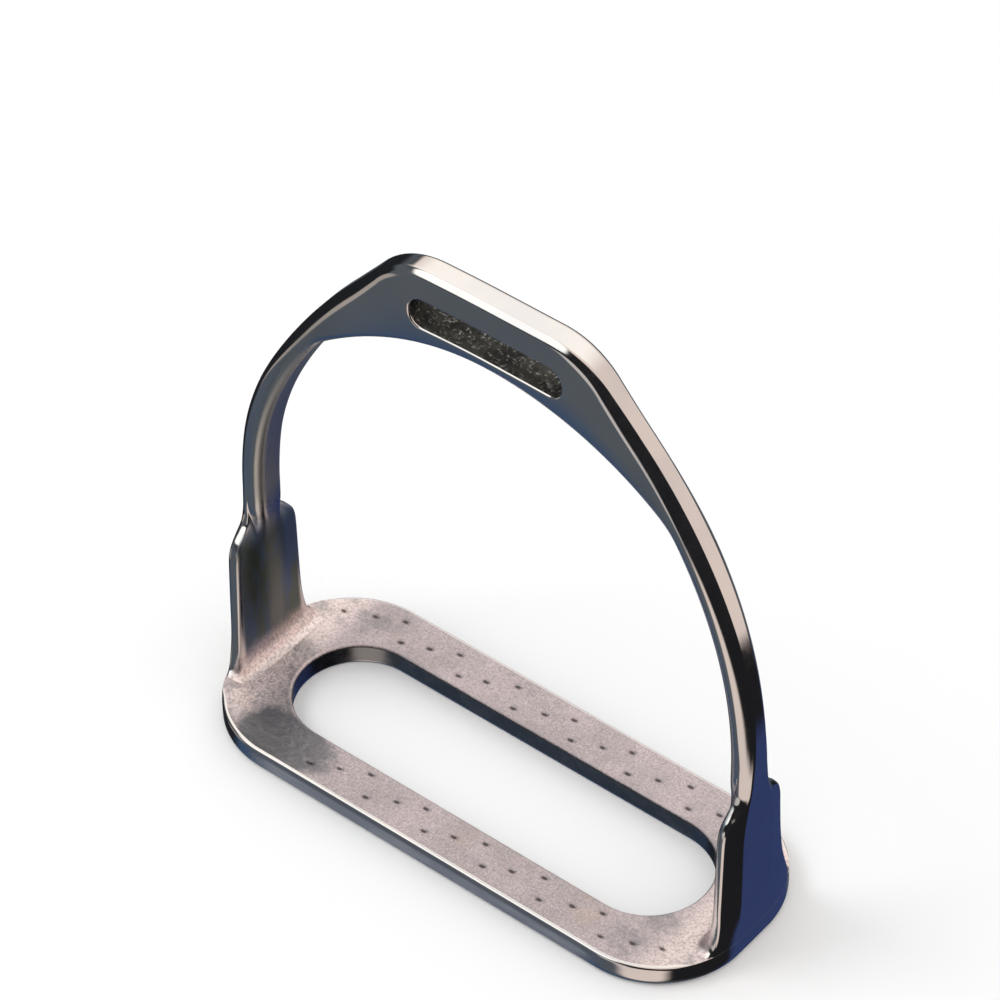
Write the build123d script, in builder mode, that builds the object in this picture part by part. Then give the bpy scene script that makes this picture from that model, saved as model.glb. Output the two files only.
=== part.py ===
from build123d import *
import math
import os

# Stirrup iron, hunting pattern with an open two-bar tread, cast in one piece.
# The casting is written out as the nine sections that a saddler or foundry would name.
# Sections meet face to face on plain cuts.  Millimetres, +Z up, +X along the tread,
# origin on the ground under the middle of the tread.

# ---- driving dimensions -------------------------------------------------------------
INSIDE_WIDTH = 127.0        # between the cheeks, the size an iron is sold by (5 inch)
CHEEK_THICK = 4.0
TREAD_WIDTH = 53.0
TREAD_THICK = 5.5
TREAD_CORNER = 21.5         # plan radius of the tread's corners
SLOT_LENGTH = 108.0         # open middle of the tread, round ended
SLOT_WIDTH = 29.0
OVERALL_HEIGHT = 143.5
BOW_DEPTH = 8.0             # front face to back face
BOW_CHAMFER = 1.7           # both outer edges of the bow
BOW_INNER_ROUND = 1.2       # both inner edges of the bow
LEG_THICK = 5.5
LEG_RADIUS = 107.5          # outside sweep of the branch, tangent to the cheek
LEG_TURN = 43.0             # degrees that the sweep turns before the straight shoulder
LEG_BASE = 54.0             # height at which the sweep starts
CROWN_FLAT = 23.6           # half width of the flat top, to the unrounded corner
CROWN_CORNER = 20.0
ARCH_RADIUS = 70.0          # underside of the crown
ARCH_TOP = 126.5
ARCH_CORNER = 18.0
EYE_LENGTH = 38.5           # slot for the stirrup leather
EYE_HEIGHT = 7.4
EYE_CENTRE = 133.0
EYE_CORNER = 3.4
EYE_LIP_ROUND = 0.6
CHEEK_HALF = 9.8            # half the width of the cheek plate
CHEEK_FLARE = 11.4          # half its width where it meets the tread
CHEEK_FLARE_TOP = 19.0
SHOULDER_LOW = 39.0         # the shoulder slopes in from the plate to the branch
SHOULDER_HIGH = 45.0
SHOULDER_ROUND = 3.5
RIDGE_LOW = 10.0            # the branch fades into the cheek's inner face down to here
PLATE_EDGE_ROUND = 1.0
TREAD_EDGE_ROUND = 0.8
CHEEK_CUT = 52.0            # height of the plane between each branch and its cheek
DIMPLE_PITCH = 15.8         # grip dimples, three staggered rows on each bar
DIMPLE_STAGGER = 6.3        # each row starts this much further along than the one before
DIMPLE_ROW_GAP = 2.7
DIMPLE_SHIFT_FRONT = 10.6   # the whole pattern sits this much to the right on the front bar
DIMPLE_SHIFT_BACK = -4.5    # and this much to the left on the back bar
DIMPLE_COUNT_FRONT = 6      # dimples in a row; the front bar's left end is plain
DIMPLE_COUNT_BACK = 7
DIMPLE_BALL = 1.1           # radius of the ball that sinks a dimple
DIMPLE_DEPTH = 0.6

# ---- derived ------------------------------------------------------------------------
CHEEK_IN = INSIDE_WIDTH / 2
CHEEK_OUT = CHEEK_IN + CHEEK_THICK
TREAD_LENGTH = 2 * CHEEK_OUT
LEG_IN = CHEEK_OUT - LEG_THICK
LEG_CENTRE = CHEEK_OUT - LEG_RADIUS
INNER_RADIUS = LEG_RADIUS - LEG_THICK
ARCH_CENTRE = ARCH_TOP - ARCH_RADIUS
BAR_CENTRE = (TREAD_WIDTH + SLOT_WIDTH) / 4
BAR_CUT = (SLOT_LENGTH - SLOT_WIDTH) / 2
SWEEP_DIRECTION = math.sin(math.radians(LEG_TURN)), math.cos(math.radians(LEG_TURN))
SWEEP_END = (LEG_CENTRE + LEG_RADIUS * SWEEP_DIRECTION[1], LEG_BASE + LEG_RADIUS * SWEEP_DIRECTION[0])


def circles_meet(centre_a, radius_a, centre_b, radius_b):
    """The upper crossing point of two circles in a plane."""
    ax, ay = centre_a
    bx, by = centre_b
    gap = math.hypot(bx - ax, by - ay)
    along = (gap**2 + radius_a**2 - radius_b**2) / (2 * gap)
    off = math.sqrt(radius_a**2 - along**2)
    ux, uy = (bx - ax) / gap, (by - ay) / gap
    points = [(ax + along * ux - s * off * uy, ay + along * uy + s * off * ux) for s in (1, -1)]
    return max(points, key=lambda point: point[1])


def dimple_centres():
    """Ball centres: on both bars each row is staggered the same way along the tread."""
    centres = []
    for bar, count, shift in ((-BAR_CENTRE, DIMPLE_COUNT_FRONT, DIMPLE_SHIFT_FRONT),
                              (BAR_CENTRE, DIMPLE_COUNT_BACK, DIMPLE_SHIFT_BACK)):
        for row in range(-1, 2):
            for step in range(count):
                x = (step - (count - 1) / 2) * DIMPLE_PITCH + row * DIMPLE_STAGGER + shift
                y = bar + row * DIMPLE_ROW_GAP
                centres.append((x, y, TREAD_THICK + DIMPLE_BALL - DIMPLE_DEPTH))
    return centres


def rim_edges(builder, outward):
    """Front and back edges of the bow, on its outer outline or round its inner arch."""
    middle = Vector(0, 0, LEG_BASE)
    edges = ShapeList()
    for face in builder.faces():
        normal = face.normal_at()
        level = abs(normal.Y) < 0.5 and normal.Z > -0.999
        if level and (normal.dot(face.center() - middle) > 0) == outward:
            edges += face.edges().filter_by(lambda edge: abs(edge.tangent_at(0.5).Y) < 0.5)
    return edges


# ---- the bow: outer outline less inner arch, drawn as its right half and mirrored -------
KNEE = circles_meet((0, ARCH_CENTRE), ARCH_RADIUS, (LEG_CENTRE, LEG_BASE), INNER_RADIUS)
INNER_TURN = math.degrees(math.atan2(KNEE[1] - LEG_BASE, KNEE[0] - LEG_CENTRE))

with BuildPart() as bow:
    with BuildSketch(Plane.XZ) as bow_profile:
        with BuildLine():
            Line((CHEEK_IN, 0), (CHEEK_OUT, 0))
            Line((CHEEK_OUT, 0), (CHEEK_OUT, LEG_BASE))
            sweep_out = CenterArc((LEG_CENTRE, LEG_BASE), LEG_RADIUS, 0, LEG_TURN)
            Line(sweep_out @ 1, (CROWN_FLAT, OVERALL_HEIGHT))
            Line((CROWN_FLAT, OVERALL_HEIGHT), (0, OVERALL_HEIGHT))
            Line((0, OVERALL_HEIGHT), (0, ARCH_TOP))
            RadiusArc((0, ARCH_TOP), KNEE, ARCH_RADIUS)
            CenterArc((LEG_CENTRE, LEG_BASE), INNER_RADIUS, 0, INNER_TURN)
            Line((LEG_IN, LEG_BASE), (CHEEK_IN, RIDGE_LOW))
            Line((CHEEK_IN, RIDGE_LOW), (CHEEK_IN, 0))
        make_face()
        for point, radius in [((CROWN_FLAT, OVERALL_HEIGHT), CROWN_CORNER), (KNEE, ARCH_CORNER)]:
            fillet(bow_profile.vertices().sort_by_distance(Vertex(*point, 0))[0], radius)
        mirror(about=Plane.YZ)
    extrude(amount=BOW_DEPTH / 2, both=True)
    chamfer(rim_edges(bow, outward=True), BOW_CHAMFER)
    fillet(rim_edges(bow, outward=False), BOW_INNER_ROUND)

# ---- the cheeks: plates that widen below each branch, flush with the tread's end --------
with BuildPart() as tread_outline:
    with BuildSketch():
        RectangleRounded(TREAD_LENGTH, TREAD_WIDTH, TREAD_CORNER)
    extrude(amount=SHOULDER_HIGH)

with BuildPart() as cheeks:
    with BuildSketch(Plane.YZ.offset(CHEEK_IN)) as cheek_profile:
        with BuildLine():
            edge = Polyline(
                (0, TREAD_THICK / 2),
                (CHEEK_FLARE, TREAD_THICK / 2),
                (CHEEK_FLARE, TREAD_THICK),
                (CHEEK_HALF, CHEEK_FLARE_TOP),
                (CHEEK_HALF, SHOULDER_LOW),
                (BOW_DEPTH / 2 - 0.1, SHOULDER_HIGH),
                (0, SHOULDER_HIGH),
            )
            mirror(edge, about=Plane.YZ)
        make_face()
        levels = cheek_profile.vertices().group_by(Axis.Y)
        fillet(levels[3], SHOULDER_ROUND)
    extrude(amount=CHEEK_THICK)
    mirror(about=Plane.YZ)
    add(tread_outline.part, mode=Mode.INTERSECT)
    upright = cheeks.edges().filter_by(lambda edge: edge.center().Z > TREAD_THICK and
                                       abs(edge.tangent_at(0.5).X) < 0.9 and
                                       abs(edge.center().Y) > BOW_DEPTH / 2 + 1.5)
    fillet(upright, PLATE_EDGE_ROUND)

# ---- the whole casting: tread plate with its open middle, cheeks, bow, eye, dimples -------
with BuildPart() as casting:
    with BuildSketch():
        RectangleRounded(TREAD_LENGTH, TREAD_WIDTH, TREAD_CORNER)
        SlotOverall(SLOT_LENGTH, SLOT_WIDTH, mode=Mode.SUBTRACT)
    extrude(amount=TREAD_THICK)
    fillet(casting.edges().filter_by(Plane.XY), TREAD_EDGE_ROUND)
    add(cheeks.part)
    add(bow.part)
    with BuildSketch(Plane.XZ.offset(-BOW_DEPTH)):
        with Locations((0, EYE_CENTRE)):
            RectangleRounded(EYE_LENGTH, EYE_HEIGHT, EYE_CORNER)
    extrude(amount=2 * BOW_DEPTH, mode=Mode.SUBTRACT)
    eye_rim = casting.edges().filter_by(lambda edge: abs(abs(edge.center().Y) - BOW_DEPTH / 2) < 0.01 and
                                        abs(edge.center().Z - EYE_CENTRE) < EYE_HEIGHT / 2 + 0.01 and
                                        abs(edge.center().X) < EYE_LENGTH / 2 + 0.01)
    fillet(eye_rim, EYE_LIP_ROUND)
    with Locations(*dimple_centres()):
        Sphere(DIMPLE_BALL, mode=Mode.SUBTRACT)

# ---- the sections, cut from the casting on plain planes --------------------------------
def shoulder_plane(side):
    """Plane across the bow where the straight shoulder meets the sweep, facing down the branch."""
    return Plane(origin=(side * SWEEP_END[0], 0, SWEEP_END[1]), x_dir=(0, 1, 0),
                 z_dir=(side * SWEEP_DIRECTION[0], 0, -SWEEP_DIRECTION[1]))


on_tread, on_cheek = Plane.XY.offset(TREAD_THICK), Plane.XY.offset(CHEEK_CUT)
left_bar_end, right_bar_end = Plane.YZ.offset(-BAR_CUT), Plane.YZ.offset(BAR_CUT)
bars = [(on_tread, Keep.BOTTOM), (left_bar_end, Keep.TOP), (right_bar_end, Keep.BOTTOM)]
SECTIONS = {
    "eye_block": [(shoulder_plane(1), Keep.BOTTOM), (shoulder_plane(-1), Keep.BOTTOM)],
    "left_branch": [(on_cheek, Keep.TOP), (shoulder_plane(-1), Keep.TOP)],
    "right_branch": [(on_cheek, Keep.TOP), (shoulder_plane(1), Keep.TOP)],
    "left_cheek": [(on_tread, Keep.TOP), (on_cheek, Keep.BOTTOM), (Plane.YZ, Keep.BOTTOM)],
    "right_cheek": [(on_tread, Keep.TOP), (on_cheek, Keep.BOTTOM), (Plane.YZ, Keep.TOP)],
    "left_tread_end": [(on_tread, Keep.BOTTOM), (left_bar_end, Keep.BOTTOM)],
    "right_tread_end": [(on_tread, Keep.BOTTOM), (right_bar_end, Keep.TOP)],
    "front_tread_bar": bars + [(Plane.XZ, Keep.TOP)],
    "back_tread_bar": bars + [(Plane.XZ, Keep.BOTTOM)],
}

os.makedirs("parts", exist_ok=True)
for name, cuts in SECTIONS.items():
    with BuildPart() as section:
        add(casting.part)
        for plane, keep in cuts:
            split(bisect_by=plane, keep=keep)
    section.part.label = name
    export_step(section.part, f"parts/{name}.step")
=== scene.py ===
import math

import bmesh
import bpy
from mathutils import Matrix, Vector, geometry, noise


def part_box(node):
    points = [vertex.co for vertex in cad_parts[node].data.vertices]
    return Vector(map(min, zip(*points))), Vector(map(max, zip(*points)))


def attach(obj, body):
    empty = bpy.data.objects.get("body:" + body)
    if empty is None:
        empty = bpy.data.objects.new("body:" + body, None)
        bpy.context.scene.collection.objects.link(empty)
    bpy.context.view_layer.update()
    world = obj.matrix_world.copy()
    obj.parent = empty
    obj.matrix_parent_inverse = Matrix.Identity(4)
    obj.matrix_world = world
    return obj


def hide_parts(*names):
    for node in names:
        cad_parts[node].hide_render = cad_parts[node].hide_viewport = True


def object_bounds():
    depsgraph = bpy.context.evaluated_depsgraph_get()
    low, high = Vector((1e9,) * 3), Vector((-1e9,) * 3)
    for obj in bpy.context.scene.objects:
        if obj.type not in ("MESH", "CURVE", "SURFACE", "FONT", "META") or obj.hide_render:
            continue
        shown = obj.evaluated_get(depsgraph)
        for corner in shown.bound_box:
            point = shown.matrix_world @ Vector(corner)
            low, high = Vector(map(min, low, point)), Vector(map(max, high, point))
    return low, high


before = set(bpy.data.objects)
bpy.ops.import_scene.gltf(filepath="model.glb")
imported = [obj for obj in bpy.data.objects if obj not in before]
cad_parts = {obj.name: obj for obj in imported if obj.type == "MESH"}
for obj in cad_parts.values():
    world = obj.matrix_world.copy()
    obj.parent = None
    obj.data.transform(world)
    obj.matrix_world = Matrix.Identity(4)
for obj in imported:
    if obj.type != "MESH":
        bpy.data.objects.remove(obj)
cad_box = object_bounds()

# Stirrup iron, polished cast steel with a blasted open tread.  Lengths of the shape are in
# millimetres in the CAD frame, and become metres when the meshes are made.  Lengths inside
# the materials, the studio and the camera are in metres.
MM = 0.001
TINY = 1e-6              # slack when heights are compared


def in_mm(metres):
    """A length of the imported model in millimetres, free of its last stray digits."""
    return round(metres / MM, 2)


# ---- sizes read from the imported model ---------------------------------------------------
_, TOP_CORNER = cad_box
_, BAR_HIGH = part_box("front_tread_bar")
CHEEK_OUT = in_mm(TOP_CORNER.x)            # outside of the cheeks, from the middle
TREAD_HALF = in_mm(TOP_CORNER.y)           # half the tread's depth
TOP = in_mm(TOP_CORNER.z)
TREAD_THICK = in_mm(BAR_HIGH.z)
BAR_CUT = in_mm(BAR_HIGH.x)                # where the bars end and the tread's round ends begin
SLOT_RADIUS = -in_mm(BAR_HIGH.y)           # half the width of the tread's open middle
CHEEK_CUT = in_mm(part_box("right_cheek")[1].z)   # height of the cut between cheek and branch

# ---- other sizes shared with the CAD ----------------------------------------------------
TREAD_CORNER = 21.5
TREAD_FLAT_END = TREAD_HALF - TREAD_CORNER
CHEEK_THICK = 4.0
LEG_THICK = 5.5
LEG_BASE = 54.0
LEG_RADIUS = 107.5
LEG_CENTRE = Vector((CHEEK_OUT - LEG_RADIUS, LEG_BASE))
LEG_TURN = math.radians(43.0)
INNER_RADIUS = LEG_RADIUS - LEG_THICK
ARCH_CENTRE = Vector((0.0, 56.5))
ARCH_RADIUS = 70.0
ARCH_CORNER = 18.0
CROWN_FLAT = 23.6
CROWN_CORNER = 20.0
EYE_LENGTH = 38.5
EYE_HEIGHT = 7.4
EYE_CENTRE = 133.0
EYE_CORNER = 3.4
EYE_SPLITS = 52          # parts of the eye outline's long sides

# ---- section of the bow -----------------------------------------------------------------
CROWN_DEPTH = 3.55       # half depth over the eye
LEG_DEPTH = 4.0          # half depth down the branch
ARC_STEPS = 6            # parts that each eased corner is made of
RIGHT, LEFT = 1, -1
EDGE = {RIGHT: 1.95, LEFT: 1.0}   # how far the outer bevel reaches inward at each branch's foot
LEFT_FLAT = 3.0          # half width of the outer flat that the smaller bevel leaves on the left
SWELL = 0.03             # how far the front and back faces bulge, as a share of their width
SWELL_MARGIN = 2.0       # width of the outer bevel, which doesn't bulge
EYE_EDGE, EDGE_EASE = 19.0, 18.0      # the crown's edge widens from here out, over this distance
BRANCH_EASE = math.radians(16)        # last of the branch's turn, where it takes the crown's section
KEEN_TOP, KEEN_EASE = 112.0, 24.0     # the left branch's smaller bevel comes in below this height


def ease(t):
    """0 to 1 with level ends."""
    t = min(max(t, 0.0), 1.0)
    return t * t * (3.0 - 2.0 * t)


def mix(a, b, t):
    return a + (b - a) * t


def towards(angle):
    """Unit vector at an angle from the first axis."""
    return Vector((math.cos(angle), math.sin(angle)))


def through(knots, x):
    """A smooth curve through a few (x, value) knots that never overshoots them."""
    if x <= knots[0][0]:
        return knots[0][1]
    if x >= knots[-1][0]:
        return knots[-1][1]
    rises = [(b[1] - a[1]) / (b[0] - a[0]) for a, b in zip(knots, knots[1:])]
    slopes = [rises[0]]
    for r, s in zip(rises, rises[1:]):
        slopes.append(2 * r * s / (r + s) if r * s > 0 else 0.0)
    slopes.append(rises[-1])
    i = max(k for k in range(len(knots) - 1) if knots[k][0] <= x)
    (x0, y0), (x1, y1) = knots[i], knots[i + 1]
    h = x1 - x0
    t = (x - x0) / h
    return ((1 + 2 * t) * (1 - t) ** 2 * y0 + t * (1 - t) ** 2 * h * slopes[i]
            + t * t * (3 - 2 * t) * y1 + t * t * (t - 1) * h * slopes[i + 1])


def steps(a, b, size):
    """Even values from a to b, no further apart than size."""
    count = max(1, math.ceil(abs(b - a) / size))
    return [mix(a, b, k / count) for k in range(count + 1)]


def ring(corners, splits):
    """A closed section outline.  Every corner (u, v, trim) is eased over by a curve that
    starts trim before it and ends trim after it, and edge i is split in splits[i]."""
    count = len(corners)
    spots = [Vector(c[:2]) for c in corners]

    def off(i, j):
        away = spots[j] - spots[i]
        wanted = corners[i][2] + corners[j][2]
        return spots[i] + away.normalized() * corners[i][2] * min(1.0, 0.96 * away.length / wanted)

    points = []
    for i in range(count):
        after = (i + 1) % count
        start, end = off(i, i - 1), off(i, after)
        for k in range(ARC_STEPS + 1):
            t = k / ARC_STEPS
            points.append(start * (1 - t) ** 2 + spots[i] * 2 * t * (1 - t) + end * t * t)
        following = off(after, i)
        for k in range(1, splits[i]):
            points.append(end.lerp(following, k / splits[i]))
    return points


def arc_start(splits, corner):
    """Index in a ring of the first point of that corner's curve."""
    return sum(ARC_STEPS + splits[i] for i in range(corner))


def ray_to_circle(origin, direction, centre, radius):
    """How far along the ray the circle is crossed from inside."""
    away = origin - centre
    along = away.dot(direction)
    return -along + math.sqrt(along ** 2 - away.length_squared + radius ** 2)


def circles_meet(centre_a, radius_a, centre_b, radius_b):
    """The crossing point of two circles that is on the right and above."""
    gap = centre_b - centre_a
    along = (gap.length_squared + radius_a ** 2 - radius_b ** 2) / (2 * gap.length)
    off = math.sqrt(radius_a ** 2 - along ** 2)
    ux, uy = gap.normalized()
    points = [centre_a + Vector((along * ux - s * off * uy, along * uy + s * off * ux)) for s in (1, -1)]
    return max(points, key=lambda p: p.y)


KNEE_CENTRE = circles_meet(LEG_CENTRE, INNER_RADIUS - ARCH_CORNER, ARCH_CENTRE, ARCH_RADIUS - ARCH_CORNER)
LEG_TOUCH = LEG_CENTRE + (KNEE_CENTRE - LEG_CENTRE).normalized() * INNER_RADIUS
ARCH_TOUCH = ARCH_CENTRE + (KNEE_CENTRE - ARCH_CENTRE).normalized() * ARCH_RADIUS


def turn_of(point):
    """Angle of a point seen from the centre of the branch's sweep."""
    return math.atan2(point.y - LEG_CENTRE.y, point.x - LEG_CENTRE.x)


def branch_thickness(turn):
    """Outside of the sweep to the inner arch, along the sweep's radius."""
    direction = towards(turn)
    if turn <= turn_of(LEG_TOUCH):
        return LEG_THICK
    if turn <= turn_of(ARCH_TOUCH):
        return LEG_RADIUS - ray_to_circle(LEG_CENTRE, direction, KNEE_CENTRE, ARCH_CORNER)
    return LEG_RADIUS - ray_to_circle(LEG_CENTRE, direction, ARCH_CENTRE, ARCH_RADIUS)


# ---- sections: corners go outer flat, bevel, front face, inner face, then the back ------
SPLITS = [12, 2, 2, 8, 6, 8, 2, 2, 12, 5]
BEVEL_CORNER, INNER_CORNER, BACK_INNER_CORNER, BACK_BEVEL_CORNER = 1, 4, 5, 8


def both_sides(front):
    """Front corners (inward, half width, trim) and their mirror images at the back."""
    return [(u, -y, trim) for u, y, trim in front] + [(u, y, trim) for u, y, trim in reversed(front)]


def crown_section(thick, x):
    """Section of the eye block at a distance x from its middle."""
    t = ease((abs(x) - EYE_EDGE) / EDGE_EASE)
    flat, bevel = mix(2.1, 1.6, t), mix(1.35, 2.2, t)
    return both_sides([
        (0, flat, mix(0.45, 0.3, t)),
        (bevel, CROWN_DEPTH, 0.8),
        (bevel + 1.0, CROWN_DEPTH, 0.2),
        (bevel + 1.7, CROWN_DEPTH, 0.2),
        (thick, CROWN_DEPTH, 1.3),
    ])


def branch_section(turn, side):
    """Section of a branch where its sweep has turned so far, on the RIGHT or the LEFT."""
    z = LEG_BASE + LEG_RADIUS * math.sin(turn)
    t = ease((LEG_TURN - turn) / BRANCH_EASE)
    depth = mix(CROWN_DEPTH, LEG_DEPTH, t)
    flat = through([(54, 2.2), (64, 1.75), (80, 1.65), (127, 1.6)], z)
    bevel = mix(2.2, EDGE[RIGHT], t)
    soft = through([(54, 1.6), (68, 1.9), (84, 1.3), (110, 0.8)], z)
    if side == LEFT:
        keen = ease((KEEN_TOP - z) / KEEN_EASE)
        flat = mix(flat, LEFT_FLAT, keen)
        bevel = mix(bevel, EDGE[LEFT], keen)
        soft = mix(soft, 0.7, keen)
    return both_sides([
        (0, flat, 0.3),
        (bevel, depth, soft),
        (bevel + mix(1.0, 0.85, t), depth, 0.15),
        (bevel + mix(1.7, 1.2, t), depth, 0.15),
        (branch_thickness(turn), depth, mix(1.3, 2.2, t)),
    ])


def smooth_larger(a, b, blur):
    """The larger of two numbers, with the change from one to the other rounded."""
    return (a + b + math.sqrt((a - b) ** 2 + blur ** 2)) / 2


def swell(x, z):
    """How far the polished front and back faces stand out at a point, from nothing at their edges."""
    spot = Vector((abs(x), z))
    from_leg = spot - LEG_CENTRE
    inner = smooth_larger((spot - ARCH_CENTRE).length - ARCH_RADIUS, from_leg.length - INNER_RADIUS, 0.5)
    if z < LEG_BASE:
        return 0.0
    if turn_of(spot) < LEG_TURN:
        outer = LEG_RADIUS - from_leg.length
    else:
        along = from_leg.dot(towards(LEG_TURN))
        outer = -smooth_larger(along - LEG_RADIUS, spot.y - TOP, 2.0)
    outer -= SWELL_MARGIN
    width = max(inner, 0.0) + max(outer, 0.0)
    if width <= 0.0:
        return 0.0
    share = max(inner, 0.0) / width
    return SWELL * width * 4 * share * (1 - share) * ease((z - LEG_BASE) / 10.0)


BEND = 2.0               # how far the left shoulder lies inside a mirrored right one
BEND_HEIGHT = 60.0       # height of the point that it is pushed towards, in the iron's middle
BEND_FROM, BEND_FULL, BEND_TO = 8.0, 50.0, 90.0   # degrees up round that point


def hand_bent(point):
    """The left shoulder was hammered a little rounder and lower than the right one."""
    if point.x >= 0.0:
        return point
    around = math.degrees(math.atan2(point.z - BEND_HEIGHT, -point.x))
    rise = ease((around - BEND_FROM) / (BEND_FULL - BEND_FROM))
    fall = ease((BEND_TO - around) / (BEND_TO - BEND_FULL))
    inward = Vector((-point.x, 0.0, BEND_HEIGHT - point.z)).normalized()
    return point + inward * (BEND * rise * fall)


def swollen(point, depth):
    """A point of the bow, moved out with the swell of the face that it is on."""
    return Vector((point.x, point.y * (1 + swell(point.x, point.z) / depth), point.z))


# half width of a cheek by height: the sloping shoulder, the plate's flaring front, and the
# wider flare at the back of the right cheek
SHOULDER = [(34.0, 9.9), (37.0, 9.75), (39.4, 9.3), (41.4, 8.2),
            (43.2, 6.5), (45.1, 4.95), (47.2, 4.3), (54.0, LEG_DEPTH)]
FRONT_HALF = [(5.5, 13.8), (6.2, 12.8), (7.6, 11.9), (10.0, 11.2), (14.0, 10.6), (20.0, 10.3), (27.0, 10.1)]
RIGHT_BACK_HALF = [(5.5, 17.6), (6.5, 16.4), (8.0, 15.2), (10.5, 13.8),
                   (14.0, 12.5), (19.0, 11.3), (26.0, 10.4)]
# half width of a cheek's outer flat by height
RIGHT_CHEEK_FLAT = [(5.5, 5.0), (34, 5.0), (42, 4.2), (48, 2.9), (54, 2.2)]
LEFT_CHEEK_FLAT = [(5.5, 5.0), (12, 5.4), (24, 8.3), (36, 8.3),
                   (41, 6.6), (45, 3.9), (49, 3.2), (54, LEFT_FLAT)]
FOOT_ROUND = 4.0         # fillet from the cheek's inner face down to the tread
FOOT_TOP = 18.0          # below this the cheek's outer face turns into the tread's round end
PLATE_TOP, PLATE_EASE = 50.0, 11.0   # below this the branch's section turns into the plate's
PLATE_BEVEL = 0.77       # outer bevel of the plate, as a share of the branch's
PLATE_HOLLOW = 0.35      # how much thinner the plate is beside its ridge
RIDGE_STEP = 0.25        # how far the ridge stands out at its foot
RIDGE_LOW = 8.0          # height where the ridge begins to grow into the branch


def outline_inset(y):
    """How far the tread's rounded end falls back from its flat at a distance y from the middle."""
    over = max(abs(y) - TREAD_FLAT_END, 0.0)
    return TREAD_CORNER - math.sqrt(TREAD_CORNER ** 2 - over ** 2)


def foot_share(z):
    """How far the cheek's outer face has taken the outline of the tread at height z."""
    return ease((FOOT_TOP - z) / (FOOT_TOP - TREAD_THICK))


def cheek_corners(z, side, half):
    """Front half of a cheek's section at height z, for a plate that reaches out to half."""
    plate = ease((PLATE_TOP - z) / PLATE_EASE)
    foot = foot_share(z)
    edge = EDGE[side]
    bevel = mix(mix(edge, PLATE_BEVEL * edge, plate), outline_inset(half), foot)
    flat = through(RIGHT_CHEEK_FLAT if side == RIGHT else LEFT_CHEEK_FLAT, z)
    low = max(0.0, 1 - (z - TREAD_THICK) / FOOT_ROUND)
    fillet = FOOT_ROUND * (1 - math.sqrt(1 - low ** 2)) * 0.9
    inner = CHEEK_THICK - PLATE_HOLLOW * plate * (1 - foot) + fillet
    grown = ease((z - RIDGE_LOW) / (LEG_BASE - RIDGE_LOW))
    ridge = mix(CHEEK_THICK + RIDGE_STEP, LEG_THICK, grown) + fillet
    return [
        (0, flat, mix(0.3, 0.5, plate)),
        (bevel, half, mix(1.6 if side == RIGHT else 0.7, 0.85, plate)),
        (mix(edge + 0.85, inner, plate), half, mix(0.15, 1.0, plate) + 2.6 * low ** 2),
        (mix(edge + 1.2, inner + 0.2, plate), mix(LEG_DEPTH, 0.66 * half, plate), mix(0.15, 1.6, plate)),
        (ridge, mix(LEG_DEPTH, 2.6, plate), 2.2),
    ]


def cheek_section(z, side):
    """Section of a cheek at height z: a plate with the branch standing on its inner side."""
    front = cheek_corners(z, side, through(FRONT_HALF + SHOULDER, z))
    back_half = RIGHT_BACK_HALF if side == RIGHT else FRONT_HALF
    behind = cheek_corners(z, side, through(back_half + SHOULDER, z))
    return [(u, -y, trim) for u, y, trim in front] + [(u, y, trim) for u, y, trim in reversed(behind)]


def placed(points, origin, inward):
    """Section points (inward, y) as points in space."""
    return [Vector((origin.x + inward.x * u, y, origin.y + inward.y * u)) for u, y in points]


def fit_outline(points, z):
    """Near the foot the outer face takes the rounded outline of the tread's end."""
    first = arc_start(SPLITS, BEVEL_CORNER)
    last = arc_start(SPLITS, BACK_BEVEL_CORNER) + ARC_STEPS
    for i, point in enumerate(points):
        if i < first or i > last:
            point.x = mix(point.x, outline_inset(point.y), foot_share(z))
    return points


# rings of the cheek: from, to, spacing; close at the foot's fillet and at the shoulder
CHEEK_LEVELS = [(TREAD_THICK, 8.1, 0.25), (8.1, 35.0, 1.0),
                (35.0, CHEEK_CUT, 0.3), (CHEEK_CUT, LEG_BASE, 0.4)]
BRANCH_RING_TURN = math.radians(0.4)


def limb_rings(side):
    """(height, ring) up a cheek and branch, both drawn on the right, up to the eye block."""
    rings = []
    for low, high, spacing in CHEEK_LEVELS:
        for z in steps(low, high, spacing)[:-1]:
            points = fit_outline(ring(cheek_section(z, side), SPLITS), z)
            rings.append((z, placed(points, Vector((CHEEK_OUT, z)), Vector((-1.0, 0.0)))))
    for turn in steps(0.0, LEG_TURN, BRANCH_RING_TURN):
        out = towards(turn)
        origin = LEG_CENTRE + out * LEG_RADIUS
        section = branch_section(turn, side)
        depth = abs(section[BEVEL_CORNER][1])
        points = placed(ring(section, SPLITS), origin, -out)
        rings.append((origin.y, [swollen(point, depth) for point in points]))
    return rings


def crown_outline():
    """(point, outward direction) along the outside of the eye block, right to left."""
    out = towards(LEG_TURN)
    sweep_end = LEG_CENTRE + out * LEG_RADIUS
    corner = Vector((CROWN_FLAT, TOP))
    back = CROWN_CORNER * math.tan((math.pi / 2 - LEG_TURN) / 2)
    slope = (sweep_end - corner).normalized()
    begin = corner + slope * back
    centre = Vector((CROWN_FLAT - back, TOP - CROWN_CORNER))
    half = [(begin.lerp(sweep_end, 1 - t), out) for t in steps(0.0, 1.0, 0.05)[:-1]]
    for angle in steps(LEG_TURN, math.pi / 2, math.radians(3)):
        way = towards(angle)
        half.append((centre + way * CROWN_CORNER, way))
    half += [(Vector((x, TOP)), Vector((0.0, 1.0))) for x in steps(centre.x, 0.0, 1.0)[1:]]
    return half + [(Vector((-p.x, p.y)), Vector((-n.x, n.y))) for p, n in reversed(half[:-1])]


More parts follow.
